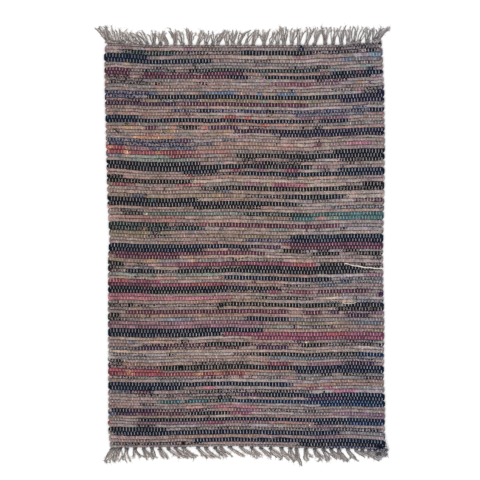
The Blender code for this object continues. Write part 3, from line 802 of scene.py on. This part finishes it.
def warp_pieces(rng, paths, cloth, material):
    under = COLOURS[cloth[:, AT_WARP]]
    grey = under.mean(axis=-1, keepdims=True)
    # Painted bounce light: the floats take on the hue and brightness of the rags around them
    hue = 1 + WARP_BOUNCE_TINT * ((under + DULL) / (grey + DULL) - 1)
    around = np.pad(grey, ((1, 1), (0, 0), (0, 0)), mode="edge")
    around = (around[:-2] + 2 * grey + around[2:]) / 4
    hidden = read(WARP_HIDDEN, np.arange(WARPS), 1)[:, None] * (1 - np.clip(around / LIGHT_RAG, 0, 1))
    bright = read(WARP_BOUNCE_LIGHT, around, 1) * (1 - hidden)
    tinted = np.repeat(srgb(WARP_COLOUR) * bright * hue, 2, axis=0)
    pieces = []
    for name, warps in (("left", range(WARPS // 2)), ("right", range(WARPS // 2, WARPS))):
        tubes = Tubes()
        for warp in warps:
            path = paths[:, warp]
            tone = waves(rng, 1, len(path), WARP_TONE)[0] + WARP_MOTTLE * rng.standard_normal(len(path))
            tone *= np.repeat(1 + FLOAT_MOTTLE * rng.standard_normal(len(path) // 2), 2)
            width = WARP_WIDTH / 2 * waves(rng, 1, len(path), WARP_SWELL)[0]
            rings = sweep(path, width, WARP_THICKNESS / 2, WARP_PROFILE)
            # Painted shade: a warp is darker the lower it runs
            height = (path[:, 2] - WARP_UNDER) / (WARP_OVER - WARP_UNDER)
            tone *= WARP_LOW_SHADE + (1 - WARP_LOW_SHADE) * np.clip(height, 0, 1)
            tubes.add(rings, (tinted[:, warp] * tone[:, None])[:, None])
        pieces.append(tubes.make(f"rug_warp_{name}", material))
    return pieces


# The fringe

TOP_LOCKS = (
    # root, lean, reach, fan
    (-291.5, -17, 33, 6), (-290.0, -18, 34, 6), (-288.5, -18, 33, 6), (-282.8, -8, 38, 8),
    (-270.3, -3, 28, 7), (-258.4, -3, 29, 8), (-244.4, -12, 28, 8), (-232.5, -8, 26, 8),
    (-219.6, -15, 28, 8), (-206.6, -13, 29, 9), (-192.6, 0, 31, 10), (-177.5, -1, 29, 9),
    (-163.5, -13, 28, 9), (-145.1, -4, 34, 17), (-131.1, -6, 31, 9), (-113.8, -2, 34, 19),
    (-96.6, 11, 32, 9), (-79.3, 4, 31, 9), (-64.2, 4, 31, 9), (-53.4, 15, 31, 8), (-34.0, 2, 31, 9),
    (-22.1, 2, 31, 14), (-8.1, 11, 31, 9), (7.0, 15, 31, 8), (23.2, 8, 31, 9), (45.9, 2, 32, 15),
    (61.0, 9, 36, 9), (75.0, 5, 40, 9), (89.0, 1, 37, 14), (105.2, 5, 35, 10), (120.3, 8, 37, 9),
    (137.6, 12, 37, 9), (155.9, 11, 37, 9), (177.5, 0, 38, 15), (194.8, 4, 38, 10), (212.0, 2, 38, 10),
    (227.1, 2, 38, 12), (239.0, 5, 37, 9), (250.9, 15, 35, 8), (268.1, 6, 33, 8), (282.2, 8, 32, 10),
    (290.5, 14, 34, 6), (292.0, 16, 37, 6), (293.5, 17, 37, 6),
)
BOTTOM_LOCKS = (
    # root, lean, reach, fan
    (-282.5, -14, 32, 14), (-274.0, -1, 29, 8), (-265.0, -6, 30, 8), (-250.9, -3, 30, 9),
    (-233.6, 6, 27, 9), (-214.2, 14, 26, 9), (-195.9, 5, 25, 9), (-178.6, 12, 25, 9),
    (-161.3, 25, 22, 11), (-144.0, 24, 23, 11), (-126.8, 23, 24, 11), (-96.6, 20, 24, 11),
    (-80.4, 23, 25, 11), (-59.9, 20, 24, 10), (-46.9, 19, 24, 9), (-27.5, 27, 21, 10), (-3.8, 23, 21, 10),
    (20.0, 13, 25, 9), (39.4, 21, 24, 9), (61.0, 21, 25, 9), (82.5, 17, 28, 9), (102.0, 10, 35, 8),
    (116.4, 4, 38, 3), (135.4, 5, 28, 12), (155.9, 15, 27, 9), (174.3, 18, 28, 9), (190.4, 21, 26, 9),
    (206.6, 15, 28, 9), (226.0, 16, 26, 9), (244.6, 26, 18, 12), (258.3, 32, 24, 14), (272.0, 26, 17, 14),
    (286.0, 14, 13, 14), (298.0, 8, 12, 14),
)
KNOT_OUT = 3.4  # from the weave's end to a lock's knot
KNOT_SCATTER = (0.4, 0.5)  # how far the knots lie off that place, across and along
KNOT_TONES = (0.7, 1.3)
KNOT_LOOPS = 5  # bends of yarn that a knot shows
LOOP_STATIONS = 5
LOOP_TONES = (0.4, 1.4)
LOOP_TURN = 0.1  # how far a bend lies off its share of the half circle
LOOP_BEND = 0.8  # how far it turns from its middle to its end
LOOP_ASIDE = 0.3  # how far it lies off the knot's middle, as a share of the knot
LOOP_THICKNESS = (0.34, 0.46)  # as a share of the knot's half length
LOOP_RISE = (0.6, 1)  # how high its middle rises, as a share of the knot's height
LOOP_SINK = 0.8  # how much lower its ends lie
LOOP_TAPER = 0.35  # how much thinner they are
YARNS_PER_FAN = 0.5  # least yarns in a lock for each millimetre that it fans out
PLIES = 3
PLY_PROFILE = ((0.9, -0.5), (0.0, 1.0), (-0.9, -0.5))
PLY_LIGHT_AND_SHADE = (0.42, 1.25, 0.42)  # painted light and shade: how much of its colour a ply shows at each of those points, dark at its sides and light on top
PLY_RADIUS = 0.56
PLY_TIP_RADIUS = 0.36
PLY_TURN = 0.52  # from a yarn's middle to its plies'
PLY_LOOSE = 1.7  # the same at its tip, where they come apart
PLY_SPREAD = (0.4, 1.3)  # as a share of that
PLY_PITCH = 9.0
PLY_UNTWIST = 0.4  # how much of the twist is gone at the tip
PLY_SINK = 0.35  # and of its height
PLY_MOTTLE = (0.22, 0.1)  # how much the shades of the plies and of each ply's stations differ
YARN_STATIONS = 16
YARN_MOTTLE = 0.2  # how much the yarns' shades differ
GATHERED = 2.1  # half a lock's width at its knot
RELAXED = 4.5  # and where its yarns lie side by side again
RELAXED_AT = 0.46  # how far along the lock that is
YARN_ROOT = (
    # a yarn's bends before its knot: how far across to it, out from the weave's end, rise by layer
    (0.0, -1.4, 0.0), (0.8, -0.4, 0.0), (1.0, 0.9, 0.6),
)
YARN_REACH = (0.74, 1.1)  # how far yarns reach, as a share of their lock's reach
LAYER_LIGHT_AND_SHADE = (0.72, 1.26)  # painted shade and light: how bright the yarns underneath and on top are
LAYER_RISE = 1.7  # how much higher those on top lie
LAYER_SINK = 1.5  # and how much of that is gone at their tips
OPENS_AT = (0.1, 0.5)  # how far along a yarn begins to leave its lock
OPENS_BY = (0.4, 1.3)  # how far it does so, as a share of the fan
UNFANNED = 2  # how much of half its fan a lock has without that
LEAN_POWER = (1.0, 1.5)  # how late a yarn leans over
LEAN_SCATTER = 1.6
SWAY = 1.8  # how far a yarn sways aside
SWAY_WAVES = (0.6, 1.9)  # how many half waves of that a yarn has
KINK = (1.0, 3)  # how far a yarn wanders
CURL = 3.4  # how far a tip bends aside
CURL_FROM = 0.65  # where along the yarn that begins
FIBRES = 8  # that fray from a yarn
FIBRE_RADIUS = 0.26
FIBRE_LENGTH = 9.0
FIBRE_LENGTHS = (0.3, 1.0)  # as a share of that
FIBRE_SCATTER = 0.5
FIBRE_BEND = 4.0
FIBRE_STATIONS = 4
FIBRE_SIDES = 3  # of frays too
STRIP_SIDES = 5  # of knots, loose rags and threads
FIBRE_TAPER = 0.6
FIBRE_SINK = 0.7
FIBRE_TONES = (0.8, 1.1)
LEAST_HEIGHT = 0.06  # of anything above the floor
YARN_COLOUR = srgb((159, 147, 141))
TIP_COLOUR = srgb((182, 170, 164))
FRAY_COLOUR = srgb((174, 164, 158))
# A knot's colour; half its width, length and height; how stout its yarns are
TOP_KNOT = (srgb((148, 137, 131)), (5.0, 3.9, 2.8), 0.9)
BOTTOM_KNOT = (srgb((110, 103, 101)), (5.2, 3.8, 2.8), 1.0)
KNOT_GROWTH = (
    # across, how much larger the knots of the top end are there
    (-300, 1.35), (-235, 1.25), (-205, 1.0), (225, 1.0), (245, 1.25), (300, 1.35),
)


def end_y(x, outward):
    return outward * (BODY_LENGTH / 2 + read(END_LINES, x, 1 if outward > 0 else 2))


def yarn_path(rng, start, lock, place, layer, outward):
    """From a warp's end, under the last pick to its lock's knot, then out to its tip. place runs from
    -1 to 1 in the lock."""
    root, lean, reach, fan = lock
    past = np.linspace(0, 1, YARN_STATIONS)
    split = rng.uniform(*OPENS_AT)
    opened = np.clip((past - split) / (1 - split), 0, 1)
    relaxed = GATHERED + (RELAXED - GATHERED) * np.sin(math.pi / 2 * np.clip(past / RELAXED_AT, 0, 1))
    spread = place * (relaxed + max(fan / 2 - UNFANNED, 0) * opened * rng.uniform(*OPENS_BY))
    sway = rng.normal(0, SWAY) * np.sin(math.pi * past * rng.uniform(*SWAY_WAVES)) * past
    sway += KINK[0] * drift(rng, 1, YARN_STATIONS, KINK[1])[0] * past
    sway += rng.normal(0, CURL) * np.clip((past - CURL_FROM) / (1 - CURL_FROM), 0, 1) ** 2
    own_lean = lean * past ** rng.uniform(*LEAN_POWER) + rng.normal(0, LEAN_SCATTER) * past**2
    out = KNOT_OUT + (reach * rng.uniform(*YARN_REACH) - KNOT_OUT) * past
    least = PLY_TURN + PLY_RADIUS + LEAST_HEIGHT
    height = least + LAYER_RISE * layer - LAYER_SINK * layer * opened
    across, before, rise = np.transpose(YARN_ROOT)
    bends = start[0] + across * (root + GATHERED * place - start[0])
    x = np.concatenate([[start[0]], bends, root + spread + own_lean + sway])
    y = np.concatenate([
        [start[1]], end_y(bends, outward) + outward * before, end_y(root, outward) + outward * out])
    z = np.concatenate([[start[2]], least + rise * layer, height])
    return np.stack([x, y, z], -1)


def add_yarn(rng, tubes, path, layer_light, stout):
    """Plies twisted around each other that come apart at the tip, and the fibres that fray from them."""
    share = np.linspace(0, 1, len(path))
    radius = stout * (PLY_RADIUS + (PLY_TIP_RADIUS - PLY_RADIUS) * share**2)
    steps = np.linalg.norm(np.diff(path, axis=0), axis=1)
    length = np.concatenate([[0], np.cumsum(steps)])
    left = left_of(path)
    phase = rng.uniform(0, 2 * math.pi)
    tone = layer_light * (1 + YARN_MOTTLE * rng.uniform(-1, 1))
    colour = YARN_COLOUR + (TIP_COLOUR - YARN_COLOUR) * (share**2)[:, None]
    # Painted light and shade across each ply: dark sides, light top
    colour = colour[:, None, :] * np.array(PLY_LIGHT_AND_SHADE)[:, None] * tone
    between, within = PLY_MOTTLE
    for ply in range(PLIES):
        turn = 2 * math.pi * (length / PLY_PITCH * (1 - PLY_UNTWIST * share) + ply / PLIES) + phase
        loose = PLY_TURN + (PLY_LOOSE * rng.uniform(*PLY_SPREAD) - PLY_TURN) * share**3
        centre = path + left * (stout * loose * np.cos(turn))[:, None]
        centre[:, 2] += PLY_TURN * np.sin(turn)
        centre[:, 2] = np.maximum(centre[:, 2] * (1 - PLY_SINK * share**2), radius + LEAST_HEIGHT)
        shade = 1 + between * rng.standard_normal()
        shades = shade * (1 + within * rng.standard_normal((len(path), 1, 1)))
        tubes.add(sweep(centre, radius, radius, PLY_PROFILE), colour * shades)
    along = np.linspace(0, 1, FIBRE_STATIONS)
    thin = FIBRE_RADIUS * (1 - FIBRE_TAPER * along)
    for _ in range(FIBRES):
        leaves = rng.integers(len(path) // 2, len(path) - 1)
        start = path[leaves] + rng.normal(0, FIBRE_SCATTER, 3) * (1, 1, 0)
        way = (path[leaves + 1] - path[leaves]) / steps[leaves]
        reach = FIBRE_LENGTH * rng.uniform(*FIBRE_LENGTHS)
        bend = rng.normal(0, FIBRE_BEND)
        fibre = start + np.outer(along * reach, way) + np.outer(bend * along**2, left[leaves])
        fibre[:, 2] = np.maximum(start[2] * (1 - FIBRE_SINK * along), thin + LEAST_HEIGHT)
        rings = sweep(fibre, thin, thin, round_profile(FIBRE_SIDES))
        tubes.add(rings, FRAY_COLOUR * tone * rng.uniform(*FIBRE_TONES))


def add_knot(rng, tubes, x, y, size, colour):
    """Bends of yarn, each across the last."""
    half_width, half_length, half_height = size
    share = np.linspace(-1, 1, LOOP_STATIONS)
    for loop in range(KNOT_LOOPS):
        turn = math.pi * (loop / KNOT_LOOPS + rng.uniform(-LOOP_TURN, LOOP_TURN))
        bend = turn + rng.uniform(-LOOP_BEND, LOOP_BEND) * share
        aside = rng.uniform(-LOOP_ASIDE, LOOP_ASIDE, 2) * (half_width, half_length)
        thick = rng.uniform(*LOOP_THICKNESS) * half_length
        across = x + aside[0] + (half_width - thick / 2) * share * np.cos(bend)
        along = y + aside[1] + (half_length - thick / 2) * share * np.sin(bend)
        rise = 2 * (half_height - thick) * (1 - LOOP_SINK * share**2) * rng.uniform(*LOOP_RISE)
        path = np.stack([across, along, thick + LEAST_HEIGHT + rise], -1)
        radius = thick * (1 - LOOP_TAPER * share**2)
        rings = sweep(path, radius, radius, round_profile(STRIP_SIDES))
        tubes.add(rings, colour * rng.uniform(*LOOP_TONES))


def fringe_piece(rng, name, locks, outward, knot, warps, material):
    """warps: where each warp leaves the weave. A lock takes the nearest."""
    knot_colour, knot_size, stout = knot
    roots = np.array([lock[0] for lock in locks])
    away = np.abs(warps[:, 0][:, None] - roots[None, :])
    nearest = away.argmin(axis=1)
    tubes = Tubes()
    for number, lock in enumerate(locks):
        yarns = max(np.count_nonzero(nearest == number), round(YARNS_PER_FAN * lock[3]))
        members = np.sort(np.argsort(away[:, number])[:yarns])
        for order, warp in enumerate(members):
            place = 2 * order / (yarns - 1) - 1
            path = yarn_path(rng, warps[warp], lock, place, order % 2, outward)
            # Painted shade on the lower layer of yarns, painted light on the upper
            add_yarn(rng, tubes, path, LAYER_LIGHT_AND_SHADE[order % 2], stout)
        y = end_y(lock[0], outward) + outward * KNOT_OUT
        shade = knot_colour * rng.uniform(*KNOT_TONES)
        growth = read(KNOT_GROWTH, lock[0], 1) if outward > 0 else 1
        size = (growth * knot_size[0], growth * knot_size[1], knot_size[2])
        aside, off = (rng.normal(0, scatter) for scatter in KNOT_SCATTER)
        add_knot(rng, tubes, lock[0] + aside, y + off, size, shade)
    return tubes.make(name, material)


# Rag ends and loose threads on top of the weave

RAG_KNOTS = (
    # cloth, across and along from the chart's corner in cm, half width and half length in mm
    ("sand", 45.6, 16.6, 4.5, 4.5),
    ("ivory", 9.1, 36.4, 3.0, 3.0),
    ("ink", 33.1, 48.2, 6.0, 3.5),
    ("denim", 51.9, 51.1, 5.5, 3.0),
    ("ink", 37.8, 52.8, 4.5, 4.0),
    ("plum", 59.6, 53.5, 5.5, 6.0),
    ("gold", 50.9, 55.1, 2.6, 3.2),
    ("ink", 25.4, 56.2, 6.5, 4.5),
    ("ivory", 43.6, 64.0, 2.6, 3.2),
    ("raspberry", 25.8, 63.0, 5.0, 2.6),
    ("black", 16.4, 69.5, 8.0, 5.0),
    ("navy", 50.8, 69.3, 7.0, 4.5),
    ("plum", 25.0, 75.8, 5.0, 3.0),
    ("ivory", 44.3, 81.9, 2.2, 2.4),
    ("tan", 32.4, 84.8, 3.6, 6.0),
    ("black", 17.0, 85.9, 4.5, 4.5),
    ("red", 0.9, 81.4, 4.0, 4.0),
    ("navy", 59.4, 86.0, 9.0, 6.5),
    ("greydots", 60.6, 86.6, 8.0, 8.0),
    ("greydots", 59.2, 87.6, 12.0, 5.0),
    ("grey", 60.2, 87.4, 8.0, 7.0),
)
LOOSE_THREADS = (
    # cloth, across from and to, along from and to, in cm; radius, bow and height in mm
    ("ivory", 51.8, 60.1, 47.0, 48.1, 1.5, -3.0, 5.4),
    ("cream", 10.9, 15.7, 47.9, 48.2, 0.9, 0.6, 6.1),
    ("cream", 44.9, 50.8, 55.0, 54.9, 1.1, -0.8, 6.1),
    ("ivory", 51.3, 54.3, 55.5, 55.4, 0.9, -1.8, 5.4),
    ("black", 2.0, 3.2, 18.4, 19.4, 0.8, 1.5, 6.1),
    ("black", 9.7, 10.4, 74.1, 75.7, 0.9, -4.0, 6.1),
    ("black", 8.7, 9.3, 31.9, 32.7, 0.7, 1.0, 6.1),
    ("red", 23.2, 30.3, 33.6, 33.4, 0.6, 1.5, 6.1),
    ("navy", 36.2, 40.3, 84.7, 85.0, 0.8, 1.0, 6.1),
    ("black", 56.8, 60.9, 85.1, 85.9, 0.7, -3.0, 6.1),
    ("black", 58.0, 60.8, 86.9, 86.3, 0.6, 2.0, 6.1),
    ("ink", 60.2, 61.0, 83.4, 86.4, 0.6, 1.0, 6.1),
)
ON_TOP = 6.1  # height of a fray's middle
STRIP_FLATNESS = 0.7  # a strip's height, as a share of its width
END_STRIPS = 6  # that stick out where two rags meet
END_STATIONS = 6
END_RADIUS = 1.7
END_THICKNESS = (0.8, 1.2)  # as a share of that
END_TAPER = 0.65
END_HEIGHT = 5.2
END_RISE = 0.9
END_REACH = (0.6, 1.15)  # as a share of the charted half width and length
END_TURN = 0.5  # how far strips lie off their share of the circle
END_BEND = 1.2  # how far they turn from root to tip
END_TONES = (0.6, 1.3)
END_MOTTLE = 0.2
END_LEAST = 0.2  # of its colour that a strip shows
FRAYS = 170
FRAY_STATIONS = 6
FRAY_LENGTHS = (5.0, 16.0)
FRAY_BOW = 1.6
FRAY_TURN = 0.5  # how far they turn from the rags' way
FRAY_WAVE = (0.25, 9)  # height and pace of their ups and downs
FRAY_TONES = (0.8, 1.2)
FRAY_RADIUS = 0.3
THREAD_STATIONS = 24
THREAD_WAVES = ((0.5, 21), (0.3, 33))  # size and pace of a thread's waves, sideways and up
THREAD_SWELL = (0.15, 3)
THREAD_FLATNESS = 0.8
THREAD_MOTTLE = 0.14
FRAY_MARGIN = 12.0  # from the weave's edges
FRAY_CLOTHS = ("cream", "stone", "taupe", "umber", "black", "wine", "navy", "cream", "sand")


def colour_of(cloth):
    return COLOURS[NAMES.index(cloth)]


def chart_place(across, along):
    """X and Y of a place given in cm from the chart's left edge and from the top end."""
    x = CHART_LEFT + across * CM
    down = along * CM / BODY_LENGTH
    return x, end_y(x, 1) * (1 - down) + end_y(x, -1) * down


def add_rag_end(rng, tubes, x, y, half_width, half_length, colour):
    """Where two rags are tied or laid together: their ends stick out as short folded strips."""
    for turn in np.linspace(0, 2 * math.pi, END_STRIPS, endpoint=False) + rng.uniform(0, math.pi):
        turn += rng.uniform(-END_TURN, END_TURN)
        share = np.linspace(0, 1, END_STATIONS)
        bend = turn + rng.uniform(-END_BEND, END_BEND) * share
        reach = rng.uniform(*END_REACH) * share
        z = END_HEIGHT + END_RISE * np.sin(math.pi * share) * rng.uniform(0, 1)
        ring = (x + half_width * reach * np.cos(bend), y + half_length * reach * np.sin(bend))
        thick = END_RADIUS * (1 - END_TAPER * share) * rng.uniform(*END_THICKNESS)
        rings = sweep(np.stack([*ring, z], -1), thick, STRIP_FLATNESS * thick, round_profile(STRIP_SIDES))
        shades = rng.uniform(*END_TONES) * (1 + END_MOTTLE * rng.standard_normal((END_STATIONS, 1, 1)))
        tubes.add(rings, colour * np.maximum(shades, END_LEAST))


def add_frays(rng, tubes):
    """Short threads that stand off the rags all over the weave."""
    left, right = CHART_LEFT + FRAY_MARGIN, -CHART_LEFT - FRAY_MARGIN
    for _ in range(FRAYS):
        x = rng.uniform(left, right)
        y = rng.uniform(-1, 1) * (BODY_LENGTH / 2 - FRAY_MARGIN)
        share = np.linspace(-0.5, 0.5, FRAY_STATIONS)
        way = rng.normal(0, FRAY_TURN)
        length = rng.uniform(*FRAY_LENGTHS)
        bow = rng.normal(0, FRAY_BOW) * (1 - 4 * share**2)
        across = length * share * math.cos(way) - bow * math.sin(way)
        along = length * share * math.sin(way) + bow * math.cos(way)
        z = ON_TOP + FRAY_WAVE[0] * np.cos(share * FRAY_WAVE[1])
        path = np.stack([x + across, y + along, z], -1)
        colour = colour_of(FRAY_CLOTHS[rng.integers(len(FRAY_CLOTHS))])
        rings = sweep(path, FRAY_RADIUS, FRAY_RADIUS, round_profile(FIBRE_SIDES))
        tubes.add(rings, colour * rng.uniform(*FRAY_TONES))


def loose_piece(rng, material):
    tubes = Tubes()
    for cloth, across, along, half_width, half_length in RAG_KNOTS:
        add_rag_end(rng, tubes, *chart_place(across, along), half_width, half_length, colour_of(cloth))
    add_frays(rng, tubes)
    sideways, up = THREAD_WAVES
    share = np.linspace(0, 1, THREAD_STATIONS)
    for cloth, start, end, high, low, radius, bow, height in LOOSE_THREADS:
        x, y = chart_place(start + (end - start) * share, high + (low - high) * share)
        y = y + bow * np.sin(math.pi * share) + sideways[0] * np.sin(share * sideways[1])
        z = height + up[0] * np.sin(share * up[1])
        thick = radius * waves(rng, 1, len(share), THREAD_SWELL)[0]
        rings = sweep(np.stack([x, y, z], -1), thick, thick * THREAD_FLATNESS, round_profile(STRIP_SIDES))
        shades = 1 + THREAD_MOTTLE * rng.standard_normal((len(share), 1, 1))
        tubes.add(rings, colour_of(cloth) * shades)
    return tubes.make("rug_loose_ends", material)


# Materials


def add_node(tree, kind, **settings):
    node = tree.nodes.new(kind)
    for name, value in settings.items():
        setattr(node, name, value)
    return node


FLECK_SIZE = 2.4  # mm
FLECK_STRETCH = (1.7, 1.0)  # how much longer flecks are along X and Y
FLECK_SWING = 0.5  # how much a share from 0 to 1 shifts the noise that makes them
FLECK_EDGE = (0.73, 0.77)  # the shifted noise from which they show, and at which they cover
FLECK_DETAIL = 1.0
GRAIN_DETAIL = 3.0
GRAIN_RANGE = (0.3, 0.7)  # what the grain's noise mostly lies between
NOISE_ROUGHNESS = 0.6
SHEEN_ROUGHNESS = 0.6
CLOTH_SPECULAR = 0.08


def set_inputs(node, values):
    for name, value in values.items():
        node.inputs[name].default_value = value


def scaled_noise(tree, place, size, stretch, detail):
    """Noise with grains of a size in mm, longer along X and Y by stretch."""
    scale = add_node(tree, "ShaderNodeMapping")
    per_metre = 1 / (size * MM)
    set_inputs(scale, {"Scale": (per_metre / stretch[0], per_metre / stretch[1], per_metre)})
    noise = add_node(tree, "ShaderNodeTexNoise")
    set_inputs(noise, {"Scale": 1.0, "Detail": detail, "Roughness": NOISE_ROUGHNESS})
    tree.links.new(place.outputs["Object"], scale.inputs["Vector"])
    tree.links.new(scale.outputs["Vector"], noise.inputs["Vector"])
    return noise.outputs["Fac"]


def flecked(tree, place, paint):
    """The painted colour with the other one showing through in flecks."""
    fleck = add_node(tree, "ShaderNodeVertexColor", layer_name="fleck")
    shift = add_node(tree, "ShaderNodeMath", operation="MULTIPLY_ADD")
    shift.inputs[1].default_value = FLECK_SWING
    edge = add_node(tree, "ShaderNodeMapRange")
    set_inputs(edge, {"From Min": FLECK_EDGE[0], "From Max": FLECK_EDGE[1]})
    mix = add_node(tree, "ShaderNodeMix", data_type="RGBA")
    link = tree.links.new
    link(fleck.outputs["Alpha"], shift.inputs[0])
    link(scaled_noise(tree, place, FLECK_SIZE, FLECK_STRETCH, FLECK_DETAIL), shift.inputs[2])
    link(shift.outputs["Value"], edge.inputs["Value"])
    link(edge.outputs["Result"], mix.inputs["Factor"])
    link(paint, mix.inputs["A"])
    link(fleck.outputs["Color"], mix.inputs["B"])
    return mix.outputs["Result"]


def cloth_material(name, grain, stretch, tone, bump, roughness, sheen, has_flecks):
    """Painted cloth. grain: size of its texture in mm; stretch: how much longer that is along X and Y;
    tone: how strongly it lightens and darkens the colour; bump: its depth in mm."""
    material = bpy.data.materials.new(name)
    material.use_nodes = True
    tree = material.node_tree
    shader = tree.nodes["Principled BSDF"]
    set_inputs(shader, {
        "Roughness": roughness, "Sheen Weight": sheen, "Sheen Roughness": SHEEN_ROUGHNESS,
        "Specular IOR Level": CLOTH_SPECULAR})
    paint = add_node(tree, "ShaderNodeVertexColor", layer_name="cloth")
    place = add_node(tree, "ShaderNodeTexCoord")
    noise = scaled_noise(tree, place, grain, stretch, GRAIN_DETAIL)
    spread = add_node(tree, "ShaderNodeMapRange")
    low, high = GRAIN_RANGE
    set_inputs(spread, {"From Min": low, "From Max": high, "To Min": 1 - tone, "To Max": 1 + tone})
    tint = add_node(tree, "ShaderNodeVectorMath", operation="SCALE")
    relief = add_node(tree, "ShaderNodeBump")
    set_inputs(relief, {"Strength": 1.0, "Distance": bump * MM})
    link = tree.links.new
    colour = flecked(tree, place, paint.outputs["Color"]) if has_flecks else paint.outputs["Color"]
    link(noise, spread.inputs["Value"])
    link(colour, tint.inputs[0])
    link(spread.outputs["Result"], tint.inputs["Scale"])
    link(tint.outputs["Vector"], shader.inputs["Base Color"])
    link(noise, relief.inputs["Height"])
    link(relief.outputs["Normal"], shader.inputs["Normal"])
    return material


# Floor, light and camera

PHOTO_WIDTH = 1035.8  # that the photograph takes in, in mm
PHOTO_CENTRE = (-5.9, 13.2)  # in the weave's own frame, in mm
CAMERA_HEIGHT = 6.0  # in metres
SENSOR = 36.0
CLIP = (0.1, 100.0)  # nearest and farthest that the camera sees, in metres
FLOOR_COLOUR = (0.92, 0.92, 0.92)
FLOOR_ROUGHNESS = 0.9
FLOOR_RADIUS = 8.0  # in metres, of its flat middle
SWEEP_RADIUS = 4.0  # of the curve by which it rises around that
SWEEP_SPAN = 3.5  # how far out the curve goes
SWEEP_STEPS = 12
FLOOR_SIDES = 96
WELD = 1e-5  # how near points of the floor are joined
SKY_STRENGTH = 0.62
SUNS = (
    # name, strength, how wide it looks, and its tilt and turn, in degrees
    ("key", 1.5, 25, 38, -35), ("fill", 0.5, 60, 30, 140),
)


def add_floor():
    """A round floor that curves up at its rim, so that no horizon shows from low down."""
    out = np.linspace(0, SWEEP_SPAN, SWEEP_STEPS + 1)
    rise = SWEEP_RADIUS - np.sqrt(SWEEP_RADIUS**2 - out**2)
    rim = bmesh.new()
    ring = [rim.verts.new((0, 0, 0))]
    ring += [rim.verts.new((FLOOR_RADIUS + step, 0, height)) for step, height in zip(out, rise)]
    for inner, outer in zip(ring, ring[1:]):
        rim.edges.new((inner, outer))
    bmesh.ops.spin(
        rim, geom=rim.verts[:] + rim.edges[:], cent=(0, 0, 0), axis=(0, 0, 1), angle=2 * math.pi,
        steps=FLOOR_SIDES, use_merge=True)
    bmesh.ops.remove_doubles(rim, verts=rim.verts[:], dist=WELD)
    mesh = bpy.data.meshes.new("floor")
    rim.to_mesh(mesh)
    rim.free()
    mesh.shade_smooth()
    floor = add_object("floor", mesh)
    material = bpy.data.materials.new("floor")
    material.use_nodes = True
    shader = material.node_tree.nodes["Principled BSDF"]
    set_inputs(shader, {
        "Base Color": (*FLOOR_COLOUR, 1), "Roughness": FLOOR_ROUGHNESS, "Specular IOR Level": 0.0})
    floor.data.materials.append(material)


def add_sun(name, strength, spread, tilt, turn):
    light = bpy.data.lights.new(name, "SUN")
    light.energy = strength
    light.angle = math.radians(spread)
    add_object(name, light).rotation_euler = (math.radians(tilt), 0, math.radians(turn))


def add_lights():
    world = bpy.data.worlds.new("studio")
    world.use_nodes = True
    set_inputs(world.node_tree.nodes["Background"], {"Color": (1, 1, 1, 1), "Strength": SKY_STRENGTH})
    bpy.context.scene.world = world
    for sun in SUNS:
        add_sun(*sun)


def add_camera():
    camera = bpy.data.cameras.new("camera")
    camera.sensor_width = SENSOR
    camera.lens = SENSOR * CAMERA_HEIGHT / (PHOTO_WIDTH * MM)
    camera.clip_start, camera.clip_end = CLIP
    holder = add_object("camera", camera)
    x, y, _ = to_metres((*PHOTO_CENTRE, 0))
    holder.location = (x, y, CAMERA_HEIGHT)
    bpy.context.scene.camera = holder


# Seeds of the random numbers
RAG_SEED = 7
PATH_SEED = 11
WARP_SEED = 12
TOP_SEED = 21
BOTTOM_SEED = 22
LOOSE_SEED = 31


def main():
    seeded = np.random.default_rng
    rag_cloth = cloth_material(
        "rag_cloth", grain=1.6, stretch=(3.0, 1.0), tone=0.18, bump=0.5, roughness=0.9, sheen=0.02,
        has_flecks=True)
    cotton = cloth_material(
        "cotton_yarn", grain=0.8, stretch=(1.0, 2.0), tone=0.14, bump=0.3, roughness=0.92, sheen=0.04,
        has_flecks=False)
    rags, cloth, edges = weft_pieces(seeded(RAG_SEED), rag_cloth)
    paths = warp_paths(seeded(PATH_SEED), edges)
    warps = warp_pieces(seeded(WARP_SEED), paths, cloth, cotton)
    top = fringe_piece(seeded(TOP_SEED), "rug_fringe_top", TOP_LOCKS, 1, TOP_KNOT, paths[0], cotton)
    bottom = fringe_piece(
        seeded(BOTTOM_SEED), "rug_fringe_bottom", BOTTOM_LOCKS, -1, BOTTOM_KNOT, paths[-1], cotton)
    loose = loose_piece(seeded(LOOSE_SEED), rag_cloth)
    for piece in (*rags, *warps, loose):
        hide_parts("rug_body")
    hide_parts("fringe_top")
    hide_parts("fringe_bottom")
    add_floor()
    add_lights()
    add_camera()
    bpy.context.scene.view_settings.view_transform = "Standard"


main()
